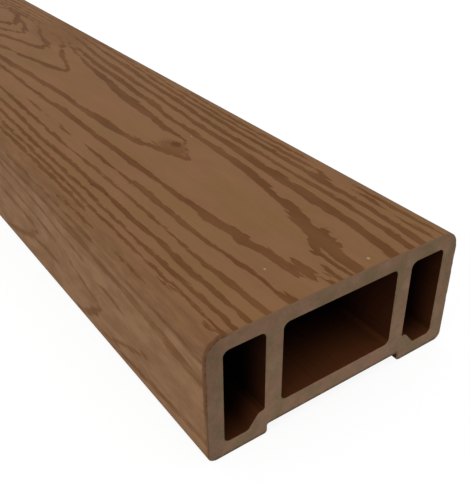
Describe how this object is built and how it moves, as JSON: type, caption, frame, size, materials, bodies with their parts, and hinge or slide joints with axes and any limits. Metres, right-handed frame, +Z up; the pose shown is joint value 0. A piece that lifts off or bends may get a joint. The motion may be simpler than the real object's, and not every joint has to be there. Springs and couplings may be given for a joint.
{
  "type": "composite handrail",
  "caption": "Length of hollow wood-plastic composite handrail with a walnut brown grained skin, open chambers and a shallow seat channel in its underside.",
  "frame": {"origin": "middle of the footprint, on the surface that the two feet rest on", "axes": "+X along the rail, towards the sawn end that the picture shows; +Y across its width, to the right of someone who looks at that end; +Z up, out of the crowned top"},
  "size_m": [1.8, 0.096, 0.045],
  "materials": {
    "composite": "matt wood-plastic composite, embossed wood grain on the top and sides, sawn ends"
  },
  "bodies": {
    "root": {"handrail": "composite"}
  },
  "joints": []
}
